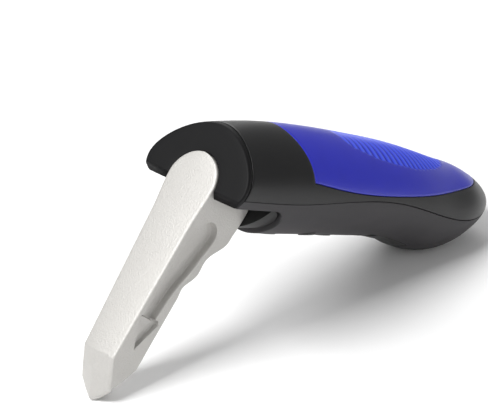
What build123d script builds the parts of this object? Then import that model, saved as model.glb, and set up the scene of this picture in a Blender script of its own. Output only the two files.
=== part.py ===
from build123d import *

import os
from math import atan2, cos, radians, sin

# Car door support handle. A metal bar drops into a door's striker loop and a two-shell grip, carried on
# the bar's tang, gives a hand something to push on. It stands on the bar's tip and the grip's pommel.
#
# Row frame: millimetres, +Z up, +X from the bar's tip towards the pommel, symmetric about Y = 0,
# origin at the middle of the bounding box's bottom.
# Handle frame: "along" runs rearwards down the grip, "height" square to it, both from the grip's datum.
# Bar frame: "depth" runs rearwards from the bar's front, "rise" up the bar from the collar's lower edge.

# ---- grip, as lofted cross-sections -------------------------------------------------------------------
body_length = 114.0         # grip datum to the start of the rounded end
cap_length = 26.3           # rounded end
cap_rise = 4.6              # how far the section's middle climbs over the rounded end
cap_top_taper = 7.5         # lost over the rounded end, beside its rounding: above the middle
cap_bottom_taper = 4.5      # below it
cap_width_taper = 2.6       # and from the half width
cap_power = 0.9             # how full the end's rounding is
cap_angles = (18, 34, 48, 60, 70, 78, 84)
least_half = 0.4            # of a drawn-in section's height or width
grip_width = 40.0
fullness = 0.47             # pull of a quarter section's handles, 0.55 being an ellipse
# share of the body length, top, bottom, share of the half width
sections = [
    (-0.105, 16.6, -4.2, 1.12),
    (0.0, 18.4, -10.8, 1.055),
    (0.175, 19.8, -14.7, 1.005),
    (0.395, 18.9, -15.7, 0.99),
    (0.614, 16.5, -16.5, 1.0),
    (0.737, 14.8, -17.5, 1.0),
    (0.842, 12.8, -20.3, 1.0),
    (0.930, 10.8, -22.4, 0.985),
    (1.0, 9.2, -22.1, 0.962),
]

# ---- shells, pad and the joints between them ----------------------------------------------------------
seam_gap = 0.15             # between moulded pieces
upper_wall = 4.4            # top of the grip to the inside, pad included
lower_wall = 2.8
pad_thickness = 2.2
rib_thickness = 1.8
rib_after_tang = 3.0
rib_after_cutter = (2.0, 8.0)   # in the upper shell, in the lower shell
parting = [(-0.2, 2.6), (0.0, 1.5), (0.25, -0.2), (0.49, 0.7), (0.67, -0.2), (0.86, -4.3), (1.0, -6.6),
           (1.12, -6.0), (1.32, -3.0)]   # share of the body length, height
pad_corner = (32.5, 6.5)    # along, height: the pad's lower front corner
pad_bow = (31.9, 13.0)      # along, height: the pad's front edge, half way up
pad_crown = (28.5, 21.0)    # along, height: the pad's front edge, over the top
pad_edge = [(0.45, 3.5), (0.66, 2.0), (0.88, 2.2), (1.22, 4.3)]    # share of the body length, height

# ---- support bar --------------------------------------------------------------------------------------
bar_foot = (-3.2, -0.45)    # along, height: the bar's front at the collar's lower edge
bar_lean = 22.4             # degrees from square to the grip
bar_reach = 55.5            # collar's lower edge to the shoulder of the tip
bar_depth = 12.4            # front to back, below the scallops
neck_depth = 20.0           # front to back, under the collar
tip_width = 13.3            # at the shoulder
waist_width = 17.0          # where the flare under the collar starts
flare_length = 10.5
arch_radius = 9.6           # half the bar's width in the collar, and its rounded top
arch_centre = 2.0           # rise of the rounded top's centre
groove_depth = 2.4          # pocket in each flank
arrow_depth = 1.5           # arrowhead under the pocket
# share of the way from the bar's depth to the neck's, rise: the two finger scallops behind the bar
scallops = [(1.0, -8.8), (0.74, -12.2), (0.34, -17.5), (0.36, -21.6), (0.1, -25.3), (-0.05, -27.8),
            (0.0, -30.5)]
# depth, rise: the pocket's edge from its lower front corner, round its top, to its rear side
groove_edge = [(2.0, -27.0), (2.3, -18.0), (4.2, -10.0), (8.3, -5.9), (13.2, -8.6), (12.9, -14.1),
               (11.5, -21.0), (9.4, -28.4)]
groove_end = 15.0           # above the shoulder
groove_foot = (2.0, 8.1)    # depths of the pocket's sides where it ends
# depth, height over the pocket's end
arrow_outline = [(2.0, 1.0), (1.2, 0.0), (6.2, -10.0), (10.6, 0.0), (9.6, 1.0)]
# below the shoulder, front ridge depth, half width, front corner depth, rear corner depth, rear ridge depth
tip_sections = [(5.0, 1.3, 6.65, 3.1, 9.3, 12.0), (9.0, 3.35, 6.45, 5.6, 6.3, 10.8),
                (12.0, 5.3, 3.2, 6.5, 7.0, 9.5), (13.8, 6.6, 0.8, 7.1, 7.6, 8.3)]
tang_start = 2.0            # along, inside the neck
tang_width = 11.0
tang_low = -1.5             # height of the tang's underside
tang_high = 7.5
floor_flat = 0.25           # how much of the tip and the pommel is flattened where it stands

# ---- collar and throat --------------------------------------------------------------------------------
collar_setback = 0.8        # the bar's front stands this proud of the collar's face
collar_lip = 1.8
collar_chamfer = 2.0        # up the bar, under each lobe
collar_spigot = 6.0         # how far the collar goes into the shells
collar_floor = 3.0          # thickness of the plate beside the bar
bar_clearance = 0.15
throat_height = -3.0        # top of the stepped-in throat, at its rear end
throat_back = 25.0          # along
throat_radius = 8.0
throat_step = 1.5
throat_front_width = 21.0
throat_flare = 0.9          # half width gained for each millimetre rearwards

# ---- fasteners ----------------------------------------------------------------------------------------
bolt_inset = (10.0, 8.0)    # behind the throat, and before the tang's end
bolt_radius = 2.0
bolt_length = 20.0
bolt_head_radius = 3.5
bolt_head_height = 4.0
bolt_socket = 3.0           # across flats
washer_radius = 4.5
washer_thickness = 0.8
nut_flats = 7.0
nut_height = 3.2
nut_cover = 0.9             # nut's top to the pad's recess
bolt_boss_radius = 6.2
screw_across = 7.3          # of the pair between the bolts
screw_past_pommel = 10.0    # the rear screw, behind the rounded end's start
screw_radius = 1.5
screw_length = 14.0
screw_head_radius = 2.7
screw_head_height = 2.1
screw_cross = (3.3, 0.75)   # length and width of each slot of the cross
screw_boss_radius = 3.8
screw_under_parting = 7.0   # head's seat to the parting line
plug_thickness = 2.6
plug_proud = 0.3
fit_gap = 0.1               # round a fastener or plug

# ---- belt cutter --------------------------------------------------------------------------------------
cutter_before_pommel = 40.0 # its front face to the rounded end's start
cutter_length = 24.0
tang_to_cutter = 4.0
cutter_half_width = 9.3
cutter_top = -7.2           # height
cutter_wall = 1.8           # of the well in the lower shell
slot_gap = 3.2
blade_thickness = 0.6
pin_radius = 1.0
pin_length = 10.0
scoop_radius = 14.0         # hollow under the hook
scoop_depth = 1.0

# ---- places that follow from the sizes above ----------------------------------------------------------
seam_depth = collar_setback + collar_lip
cutter_start = body_length - cutter_before_pommel
tang_end = cutter_start - tang_to_cutter
bolt_places = (throat_back + bolt_inset[0], tang_end - bolt_inset[1])
screw_pair = sum(bolt_places) / 2
screw_places = ((screw_pair, -screw_across), (screw_pair, screw_across),
                (body_length + screw_past_pommel, 0.0))
cutter_end = cutter_start + cutter_length
lower_ribs = (throat_back + rib_thickness / 2, cutter_end + rib_after_cutter[1])
upper_ribs = (throat_back + rib_thickness / 2, tang_end + rib_after_tang, cutter_end + rib_after_cutter[0])
far = 200.0                 # past every face

# ---- stance: the bar's tip and the pommel share the floor ---------------------------------------------
lean_sin = sin(radians(bar_lean))
lean_cos = cos(radians(bar_lean))


def bar_to_handle(depth, rise):
    """Along and height of a point given in the bar frame."""
    along = bar_foot[0] + rise * lean_sin + depth * lean_cos
    height = bar_foot[1] + rise * lean_cos - depth * lean_sin
    return along, height


tip_end = tip_sections[-1]
tip_foot = bar_to_handle(tip_end[-1], -bar_reach - tip_end[0])
tip_front = bar_to_handle(tip_end[1], -bar_reach - tip_end[0])
pommel_foot = (body_length, sections[-1][2])
pitch = atan2(pommel_foot[1] - tip_foot[1], pommel_foot[0] - tip_foot[0])
cap_end = (body_length + cap_length, (sections[-1][1] + sections[-1][2]) / 2 + cap_rise)


def leaned(along, height):
    """X and Z of a handle-frame point, before the frame is moved to its origin."""
    return along * cos(pitch) + height * sin(pitch), height * cos(pitch) - along * sin(pitch)


row_x = -(leaned(*tip_front)[0] + leaned(*cap_end)[0]) / 2
row_z = -leaned(*tip_foot)[1] - floor_flat


def place(along, height, across=0.0):
    """Row-frame point of a handle-frame point."""
    x, z = leaned(along, height)
    return x + row_x, across, z + row_z


along_dir = (cos(pitch), 0, -sin(pitch))
height_dir = (sin(pitch), 0, cos(pitch))
depth_dir = tuple(lean_cos * a - lean_sin * h for a, h in zip(along_dir, height_dir))
rise_dir = tuple(lean_sin * a + lean_cos * h for a, h in zip(along_dir, height_dir))
handle_side = Plane(origin=place(0, 0), x_dir=along_dir, z_dir=(0, -1, 0))      # x along, y height
bar_side = Plane(origin=place(*bar_foot), x_dir=depth_dir, z_dir=(0, -1, 0))    # x depth, y rise
bar_front = Plane(origin=place(*bar_foot), x_dir=(0, 1, 0), z_dir=depth_dir)    # x across, y rise


def level(height):
    """Plane square to the height direction: x along, y across."""
    return Plane(origin=place(0, height), x_dir=along_dir, z_dir=height_dir)


# ---- the grip's outer form ----------------------------------------------------------------------------
def section_sizes():
    """Along, middle, half height and half width of every cross-section, rounded end included."""
    rows = []
    for share, top, bottom, width_share in sections:
        half_width = width_share * grip_width / 2
        rows.append((share * body_length, (top + bottom) / 2, (top - bottom) / 2, half_width))
    _, middle, half_height, half_width = rows[-1]
    for angle in cap_angles:
        reach = sin(radians(angle))
        closing = cos(radians(angle)) ** cap_power
        above = (half_height - cap_top_taper * reach) * closing
        below = (half_height - cap_bottom_taper * reach) * closing
        rows.append((
            body_length + cap_length * reach,
            middle + cap_rise * reach + (above - below) / 2,
            (above + below) / 2,
            (half_width - cap_width_taper * reach) * closing,
        ))
    return rows


def grip_form(inset):
    """The grip's outer form drawn in by an inset, or swollen by a negative one."""
    shrink = (body_length + cap_length - inset) / (body_length + cap_length)
    with BuildPart() as form:
        for along, middle, half_height, half_width in section_sizes():
            tall = max(half_height - inset, least_half)
            wide = max(half_width - inset, least_half)
            pull_y = fullness * wide
            pull_z = fullness * tall
            station = Plane(origin=place(along * shrink if along > body_length else along, middle),
                            x_dir=(0, 1, 0), z_dir=along_dir)
            with BuildSketch(station):
                with BuildLine():
                    Bezier((wide, 0), (wide, pull_z), (pull_y, tall), (0, tall))
                    Bezier((0, tall), (-pull_y, tall), (-wide, pull_z), (-wide, 0))
                    Bezier((-wide, 0), (-wide, -pull_z), (-pull_y, -tall), (0, -tall))
                    Bezier((0, -tall), (pull_y, -tall), (wide, -pull_z), (wide, 0))
                make_face()
        loft()
    return form.part


def behind(plane, start):
    """A block that fills everything past a depth, in a side-view plane."""
    with BuildPart() as block:
        with BuildSketch(plane):
            with Locations((start + far / 2, 0)):
                Rectangle(far, 2 * far)
        extrude(amount=far, both=True)
    return block.part


def parting_cutter(offset):
    """A block under the wavy parting line, moved up by an offset."""
    with BuildPart() as block:
        with BuildSketch(handle_side):
            with BuildLine():
                line = Spline([(share * body_length, height + offset) for share, height in parting])
                Polyline(line @ 1, (far, -far), (-far, -far), line @ 0)
            make_face()
        extrude(amount=far, both=True)
    return block.part


def throat_cutter(gap):
    """The space under the front of the grip, where the lower shell is cut back round the throat."""
    back = throat_back + gap
    lobe_along, lobe_height = bar_to_handle(seam_depth, 0)
    slope = (lobe_height - throat_height) / (throat_back - lobe_along)
    front_height = throat_height + gap + slope * (back + far)
    with BuildPart() as block:
        with BuildSketch(handle_side):
            with BuildLine():
                FilletPolyline((-far, front_height), (back, throat_height + gap), (back, -far),
                               radius=throat_radius)
                Polyline((back, -far), (-far, -far), (-far, front_height))
            make_face()
        extrude(amount=far, both=True)
    return block.part


def pad_prism(gap):
    """Everything inside the pad's edge as seen from the side, drawn in by a gap."""
    corner, bow, crown = [(along + gap, height) for along, height in (pad_corner, pad_bow, pad_crown)]
    edge = [(corner[0], corner[1] + gap)]
    edge += [(share * body_length, height + gap) for share, height in pad_edge]
    with BuildPart() as block:
        with BuildSketch(handle_side):
            with BuildLine():
                lower = Spline(edge)
                front = Spline([edge[0], bow, crown])
                Polyline(front @ 1, (crown[0], far), (far, far), (far, edge[-1][1]), lower @ 1)
            make_face()
        extrude(amount=far, both=True)
    return block.part


def column(along, across, low, high, radius):
    """A round post or hole square to the grip."""
    with BuildPart() as post:
        with BuildSketch(level(low)):
            with Locations((along, across)):
                Circle(radius)
        extrude(amount=high - low)
    return post.part


def bar_outline(clearance):
    """The bar seen from the front: a taper, a flare under the collar and a round top."""
    foot = (tip_width / 2 + clearance, -bar_reach)
    waist = (waist_width / 2 + clearance, -flare_length)
    shoulder = (arch_radius + clearance, arch_centre)
    crown = (0, arch_centre + arch_radius + clearance)
    with BuildSketch(bar_front) as outline:
        with BuildLine():
            Line((0, -bar_reach), foot)
            taper = Line(foot, waist)
            Spline(waist, shoulder, tangents=[taper % 1, (0, 1)])
            RadiusArc(shoulder, crown, -(arch_radius + clearance))
            Line(crown, (0, -bar_reach))
        make_face()
        mirror(about=Plane.YZ)
    return outline.sketch


def tang_block(clearance, start):
    """The straight tang, or the room it needs, from a place inside the grip to its rear end."""
    length = tang_end + clearance - start
    with BuildPart() as block:
        with BuildSketch(level(tang_low - clearance)):
            with Locations((start + length / 2, 0)):
                Rectangle(length, tang_width + 2 * clearance)
        extrude(amount=tang_high - tang_low + 2 * clearance)
    return block.part


def bar_room():
    """What the collar, throat and shells leave clear for the bar and its tang."""
    with BuildPart() as room:
        extrude(bar_outline(bar_clearance), amount=neck_depth + bar_clearance)
        extrude(bar_outline(bar_clearance), amount=-far)
        add(tang_block(bar_clearance, 0))
    return room.part


with BuildPart() as floor:
    with BuildSketch(Plane.XY):
        Rectangle(2 * far, far)
    extrude(amount=-far)


# ---- support bar --------------------------------------------------------------------------------------
def tip_plane(drop):
    """Plane across the bar below its shoulder: x across, y depth."""
    foot = place(*bar_to_handle(0, -bar_reach - drop))
    return Plane(origin=foot, x_dir=(0, 1, 0), z_dir=tuple(-r for r in rise_dir))


flank_slope = (waist_width - tip_width) / 2 / (bar_reach - flare_length)
flank_half = waist_width / 2 + flare_length * flank_slope
near_flank = Plane(
    origin=place(*bar_foot, across=-flank_half),
    x_dir=depth_dir,
    z_dir=(-rise_dir[0] * flank_slope, -1, -rise_dir[2] * flank_slope),
)

with BuildPart() as pockets:
    end = -bar_reach + groove_end
    with BuildSketch(near_flank.offset(-groove_depth)):
        with BuildLine():
            edge = Spline([(groove_foot[0], end)] + groove_edge + [(groove_foot[1], end)])
            Line(edge @ 1, edge @ 0)
        make_face()
    extrude(amount=far)
    with BuildSketch(near_flank.offset(-arrow_depth)):
        Polygon(*[(depth, end + rise) for depth, rise in arrow_outline], align=None)
    extrude(amount=far)
    mirror(about=Plane.XZ)

with BuildPart() as shank:
    with BuildSketch(bar_side):
        with BuildLine():
            rear = Spline([(bar_depth + share * (neck_depth - bar_depth), rise) for share, rise in scallops],
                          tangents=[(0, -1), (0, -1)])
            Polyline(rear @ 1, (bar_depth, -bar_reach), (0, -bar_reach), (0, 2 * arch_radius),
                     (neck_depth, 2 * arch_radius), rear @ 0)
        make_face()
    extrude(amount=far, both=True)
    extrude(bar_outline(0), amount=neck_depth, mode=Mode.INTERSECT)

with BuildPart() as bar_tip:
    with BuildSketch(tip_plane(0)):
        half = tip_width / 2
        Polygon((0, 0), (half, 0), (half, bar_depth), (0, bar_depth), (-half, bar_depth), (-half, 0),
                align=None)
    for drop, ridge, half, front, rear, rear_ridge in tip_sections:
        with BuildSketch(tip_plane(drop)):
            Polygon((0, ridge), (half, front), (half, rear), (0, rear_ridge), (-half, rear), (-half, front),
                    align=None)
    loft(ruled=True)

with BuildPart() as support_bar:
    add(shank.part)
    add(bar_tip.part)
    add(tang_block(0, tang_start))
    add(pockets.part, mode=Mode.SUBTRACT)
    for along in bolt_places:
        add(column(along, 0, tang_low - 1, tang_high + 1, bolt_radius + fit_gap), mode=Mode.SUBTRACT)
    add(floor.part, mode=Mode.SUBTRACT)

# ---- the grip's forms, each used by several pieces ----------------------------------------------------
outer_form = grip_form(0)
upper_inside = grip_form(upper_wall)
lower_inside = grip_form(lower_wall)
pad_seat = grip_form(pad_thickness + seam_gap)
housing_space = behind(bar_side, seam_depth + seam_gap)
room_for_bar = bar_room()
below_parting = parting_cutter(-seam_gap / 2)
below_upper = parting_cutter(seam_gap / 2)

# ---- front collar: a lip over the shells' front, a spigot inside them and a plate beside the bar ------
with BuildPart() as collar_front:
    with BuildSketch(bar_side):
        with BuildLine():
            Polyline((collar_setback, collar_chamfer), (seam_depth, 0), (seam_depth, far),
                     (collar_setback, far), close=True)
        make_face()
    extrude(amount=far, both=True)
    add(outer_form, mode=Mode.INTERSECT)

with BuildPart() as spigot:
    with BuildSketch(bar_side):
        with BuildLine():
            Polyline((seam_depth, 0), (neck_depth, 0), (neck_depth, collar_floor),
                     (seam_depth + collar_spigot, collar_floor), (seam_depth + collar_spigot, far),
                     (seam_depth, far), close=True)
        make_face()
    extrude(amount=far, both=True)
    add(grip_form(upper_wall + seam_gap), mode=Mode.INTERSECT)

with BuildPart() as front_collar:
    add(collar_front.part)
    add(spigot.part)
    add(room_for_bar, mode=Mode.SUBTRACT)

# ---- throat insert: closes the grip behind the bar, stepped in from the lower shell -------------------
with BuildPart() as throat_plan:
    back_width = throat_front_width + 2 * throat_flare * (throat_back + throat_radius)
    with BuildSketch(level(0)):
        Polygon((0, -throat_front_width / 2), (throat_back + throat_radius, -back_width / 2),
                (throat_back + throat_radius, back_width / 2), (0, throat_front_width / 2), align=None)
    extrude(amount=far, both=True)

with BuildPart() as throat_insert:
    add(grip_form(throat_step))
    add(throat_cutter(-seam_gap), mode=Mode.INTERSECT)
    add(throat_plan.part, mode=Mode.INTERSECT)
    add(behind(bar_side, neck_depth + 2 * bar_clearance), mode=Mode.INTERSECT)
    add(room_for_bar, mode=Mode.SUBTRACT)

# ---- bolts through the tang, screws between the shells ------------------------------------------------
def section_at(along):
    """Top and bottom heights of the grip at a place along it."""
    rows = section_sizes()
    for (a0, mid0, half0, _), (a1, mid1, half1, _) in zip(rows, rows[1:]):
        if a0 <= along <= a1:
            t = (along - a0) / (a1 - a0)
            middle, half = mid0 + t * (mid1 - mid0), half0 + t * (half1 - half0)
            return middle + half, middle - half
    raise ValueError("no section there")


def parting_height(along):
    """Height of the parting line at a place along the grip."""
    points = [(share * body_length, height) for share, height in parting]
    for (a0, h0), (a1, h1) in zip(points, points[1:]):
        if a0 <= along <= a1:
            return h0 + (along - a0) / (a1 - a0) * (h1 - h0)
    raise ValueError("no parting line there")


def nut_top(along):
    """Height of a tang nut's outer face, just under the pad's recess."""
    return section_at(along)[0] - pad_thickness - seam_gap - nut_cover


def bolt_seat(along):
    """Height that a tang bolt's washer bears on, from the bolt's length."""
    return nut_top(along) - bolt_length + washer_thickness


def screw_seat(along):
    """Height that a shell screw's head bears on."""
    return parting_height(along) - screw_under_parting


def bolt(along):
    """Socket-head bolt, head down."""
    seat = bolt_seat(along) - washer_thickness
    with BuildPart() as body:
        add(column(along, 0, seat, seat + bolt_length, bolt_radius))
        add(column(along, 0, seat - bolt_head_height, seat, bolt_head_radius))
        with BuildSketch(level(seat - bolt_head_height)):
            with Locations((along, 0)):
                RegularPolygon(bolt_socket / 2, 6, major_radius=False)
        extrude(amount=bolt_head_height / 2, mode=Mode.SUBTRACT)
    return body.part


def ring(along, low, thickness, outer, inner):
    """Flat washer."""
    with BuildPart() as body:
        with BuildSketch(level(low)):
            with Locations((along, 0)):
                Circle(outer)
                Circle(inner, mode=Mode.SUBTRACT)
        extrude(amount=thickness)
    return body.part


def hex_block(along, low, high, flats):
    """Hexagonal block square to the grip."""
    with BuildPart() as body:
        with BuildSketch(level(low)):
            with Locations((along, 0)):
                RegularPolygon(flats / 2, 6, major_radius=False)
        extrude(amount=high - low)
    return body.part


with BuildPart() as tang_bolts:
    for along in bolt_places:
        add(bolt(along))

with BuildPart() as tang_washers:
    for along in bolt_places:
        add(ring(along, bolt_seat(along) - washer_thickness, washer_thickness, washer_radius,
                 bolt_radius + fit_gap))

with BuildPart() as tang_nuts:
    for along in bolt_places:
        add(hex_block(along, nut_top(along) - nut_height, nut_top(along), nut_flats))
        add(column(along, 0, -far, far, bolt_radius), mode=Mode.SUBTRACT)

with BuildPart() as shell_screws:
    for along, across in screw_places:
        seat = screw_seat(along)
        add(column(along, across, seat, seat + screw_length, screw_radius))
        add(column(along, across, seat - screw_head_height, seat, screw_head_radius))
        with BuildSketch(level(seat - screw_head_height)):
            with Locations((along, across)):
                Rectangle(*screw_cross)
                Rectangle(*reversed(screw_cross))
        extrude(amount=screw_head_height / 2, mode=Mode.SUBTRACT)


def plugs(places, radius, head_low):
    """Soft plugs that fill the counterbores, a little proud of the grip's underside."""
    with BuildPart() as group:
        for along, across in places:
            add(column(along, across, head_low(along) - far, head_low(along) - fit_gap, radius))
        add(grip_form(-plug_proud), mode=Mode.INTERSECT)
        add(grip_form(plug_thickness), mode=Mode.SUBTRACT)
    return group.part


with BuildPart() as screw_plugs:
    add(plugs(screw_places, screw_head_radius, lambda along: screw_seat(along) - screw_head_height))
    add(floor.part, mode=Mode.SUBTRACT)

with BuildPart() as bolt_plugs:
    bolt_points = [(along, 0) for along in bolt_places]
    add(plugs(bolt_points, washer_radius,
              lambda along: bolt_seat(along) - washer_thickness - bolt_head_height))

# ---- belt cutter: an insert with a hooked slot, and a blade standing across the slot's inner end ------
cutter_middle = cutter_start + cutter_length / 2


def cutter_block(grow, top):
    """The cutter's insert, or its pocket or well, down through the underside."""
    with BuildPart() as block:
        with BuildSketch(level(top)):
            with Locations((cutter_middle, 0)):
                Rectangle(cutter_length + 2 * grow, 2 * (cutter_half_width + grow))
        extrude(amount=-far)
    return block.part


slot_mouth = (cutter_start + 3.5, -30.0)
slot_turn = (cutter_start + 6.0, -12.6)
slot_end = (cutter_start + 14.5, -10.9)
blade_outline = [(cutter_start + 8.0, -8.4), (cutter_start + 16.8, -14.6), (cutter_start + 21.4, -13.2),
                 (cutter_start + 21.4, -8.4)]
pin_places = ((cutter_start + 19.6, -10.2), (cutter_start + 17.6, -13.0))
scoop_place = cutter_start + 14.0

with BuildPart() as belt_slot:
    with BuildSketch(handle_side):
        with BuildLine():
            FilletPolyline(slot_mouth, slot_turn, slot_end, radius=slot_gap)
        trace(line_width=slot_gap)
        with Locations(slot_end):
            Circle(slot_gap / 2)
    extrude(amount=far, both=True)

with BuildPart() as belt_blade:
    with BuildSketch(handle_side):
        Polygon(*blade_outline, align=None)
        with Locations(*pin_places):
            Circle(pin_radius + fit_gap, mode=Mode.SUBTRACT)
    extrude(amount=blade_thickness / 2, both=True)

with BuildPart() as blade_slit:
    with BuildSketch(handle_side):
        with BuildLine():
            lead, edge_end, rear_foot, _ = blade_outline
            Polyline((lead[0] - fit_gap, far), (lead[0] - fit_gap, lead[1]),
                     (edge_end[0], edge_end[1] - fit_gap), (rear_foot[0] + fit_gap, rear_foot[1] - fit_gap),
                     (rear_foot[0] + fit_gap, far), close=True)
        make_face()
    extrude(amount=blade_thickness / 2 + fit_gap, both=True)

with BuildPart() as blade_pins:
    with BuildSketch(handle_side):
        with Locations(*pin_places):
            Circle(pin_radius)
    extrude(amount=pin_length / 2, both=True)

with BuildPart() as pin_holes:
    with BuildSketch(handle_side.offset(pin_length / 2 + fit_gap)):
        with Locations(*pin_places):
            Circle(pin_radius + fit_gap)
    extrude(amount=-far)

with BuildPart() as scoop:
    low = section_at(scoop_place)[1]
    with BuildSketch(handle_side):
        with Locations((scoop_place, low + scoop_depth - scoop_radius)):
            Circle(scoop_radius)
    extrude(amount=far, both=True)

with BuildPart() as cutter_insert:
    add(outer_form)
    add(cutter_block(0, cutter_top), mode=Mode.INTERSECT)
    for cut in (belt_slot, blade_slit, pin_holes, scoop):
        add(cut.part, mode=Mode.SUBTRACT)

# ---- lower shell --------------------------------------------------------------------------------------
def rib_slab(along):
    """Full-height slab across the grip."""
    with BuildPart() as slab:
        with BuildSketch(handle_side):
            with Locations((along, 0)):
                Rectangle(rib_thickness, far)
        extrude(amount=far, both=True)
    return slab.part


with BuildPart() as lower_cavity:
    add(lower_inside)
    for along in lower_ribs:
        add(rib_slab(along), mode=Mode.SUBTRACT)
    for along in bolt_places:
        add(column(along, 0, -far, tang_low, bolt_boss_radius), mode=Mode.SUBTRACT)
    for along, across in screw_places:
        add(column(along, across, -far, far, screw_boss_radius), mode=Mode.SUBTRACT)
    add(cutter_block(seam_gap + cutter_wall, cutter_top + cutter_wall), mode=Mode.SUBTRACT)

with BuildPart() as lower_shell:
    add(outer_form)
    add(housing_space, mode=Mode.INTERSECT)
    add(below_parting, mode=Mode.INTERSECT)
    add(lower_cavity.part, mode=Mode.SUBTRACT)
    add(throat_cutter(0), mode=Mode.SUBTRACT)
    add(room_for_bar, mode=Mode.SUBTRACT)
    add(cutter_block(seam_gap, cutter_top + seam_gap), mode=Mode.SUBTRACT)
    for along in bolt_places:
        add(column(along, 0, -far, far, bolt_radius + fit_gap), mode=Mode.SUBTRACT)
        add(column(along, 0, -far, bolt_seat(along), washer_radius + fit_gap), mode=Mode.SUBTRACT)
    for along, across in screw_places:
        add(column(along, across, -far, far, screw_radius + fit_gap), mode=Mode.SUBTRACT)
        add(column(along, across, -far, screw_seat(along), screw_head_radius + fit_gap), mode=Mode.SUBTRACT)
    add(floor.part, mode=Mode.SUBTRACT)

# ---- upper shell and grip pad -------------------------------------------------------------------------
with BuildPart() as upper_cavity:
    add(upper_inside)
    for along in upper_ribs:
        add(rib_slab(along), mode=Mode.SUBTRACT)
    for along in bolt_places:
        add(column(along, 0, tang_high, far, bolt_boss_radius), mode=Mode.SUBTRACT)
    for along, across in screw_places:
        add(column(along, across, -far, far, screw_boss_radius), mode=Mode.SUBTRACT)

with BuildPart() as pad_recess:
    add(pad_prism(0))
    add(pad_seat, mode=Mode.SUBTRACT)

with BuildPart() as upper_shell:
    add(outer_form)
    add(housing_space, mode=Mode.INTERSECT)
    add(below_upper, mode=Mode.SUBTRACT)
    add(upper_cavity.part, mode=Mode.SUBTRACT)
    add(pad_recess.part, mode=Mode.SUBTRACT)
    add(room_for_bar, mode=Mode.SUBTRACT)
    for along in bolt_places:
        add(column(along, 0, -far, far, bolt_radius + fit_gap), mode=Mode.SUBTRACT)
        add(hex_block(along, nut_top(along) - nut_height, far, nut_flats + 2 * fit_gap), mode=Mode.SUBTRACT)
    for along, across in screw_places:
        tip = screw_seat(along) + screw_length + fit_gap
        add(column(along, across, -far, tip, screw_radius + fit_gap), mode=Mode.SUBTRACT)

with BuildPart() as grip_pad:
    add(outer_form)
    add(pad_prism(seam_gap), mode=Mode.INTERSECT)
    add(grip_form(pad_thickness), mode=Mode.SUBTRACT)

# ---- every piece, in its own file ---------------------------------------------------------------------
pieces = {
    "support_bar": support_bar,
    "front_collar": front_collar,
    "throat_insert": throat_insert,
    "upper_shell": upper_shell,
    "lower_shell": lower_shell,
    "grip_pad": grip_pad,
    "cutter_insert": cutter_insert,
    "belt_blade": belt_blade,
    "blade_pins": blade_pins,
    "tang_bolts": tang_bolts,
    "tang_washers": tang_washers,
    "tang_nuts": tang_nuts,
    "shell_screws": shell_screws,
    "screw_plugs": screw_plugs,
    "bolt_plugs": bolt_plugs,
}
os.makedirs("parts", exist_ok=True)
for label, piece in pieces.items():
    piece.part.label = label
    export_step(piece.part, f"parts/{label}.step")
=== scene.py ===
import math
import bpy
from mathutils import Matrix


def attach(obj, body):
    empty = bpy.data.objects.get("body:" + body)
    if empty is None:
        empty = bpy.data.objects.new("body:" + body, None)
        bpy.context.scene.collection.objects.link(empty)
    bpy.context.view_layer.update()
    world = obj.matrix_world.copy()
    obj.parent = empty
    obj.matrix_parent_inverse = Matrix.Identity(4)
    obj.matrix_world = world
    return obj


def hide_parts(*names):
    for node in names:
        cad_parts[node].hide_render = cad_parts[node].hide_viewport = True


bl_info = {
    "name": "Car Door Support Handle",
    "version": (1, 0, 0),
    "blender": (4, 5, 0),
    "location": "3D View > Sidebar > Support Handle",
    "description": "Builds a car door support handle's surfaces, finishes and stage round its packed frame",
    "category": "Object",
}

import bmesh
import bpy
import numpy as np
from bpy.props import FloatProperty, FloatVectorProperty, PointerProperty
from mathutils import Vector

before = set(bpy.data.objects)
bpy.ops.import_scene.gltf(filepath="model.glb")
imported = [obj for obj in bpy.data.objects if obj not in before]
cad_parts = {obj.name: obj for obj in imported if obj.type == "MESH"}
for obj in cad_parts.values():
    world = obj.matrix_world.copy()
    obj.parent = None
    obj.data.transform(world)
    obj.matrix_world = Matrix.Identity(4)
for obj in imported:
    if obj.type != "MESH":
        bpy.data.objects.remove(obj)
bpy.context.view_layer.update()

# Sizes are millimetres, turned into the frame's metres by to_row. In the handle frame, "along" runs
# rearwards down the grip, "across" towards +Y and "height" square to both. In the bar frame, "depth" runs
# rearwards from the bar's front and "rise" up the bar from the collar's lower edge.
MM = 0.001

# ---- the grip's outer form ---------------------------------------------------------------------------
BODY_LENGTH = 114.0
CAP_REACH = 26.3                # of the rounded end, where the frame's box ends
CAP_LENGTH = 26.15              # of the rounded end's surface, just inside it
CAP_RISE = 4.6
CAP_TAPER = (7.5, 4.5, 2.6)     # lost over the rounded end: above the middle, below it, in half width
CAP_POWER = 0.9
CAP_ANGLES = np.radians([18, 34, 48, 60, 70, 78, 84, 90])
HALF_GRIP = 20.0
FULLNESS = 0.47
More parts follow.
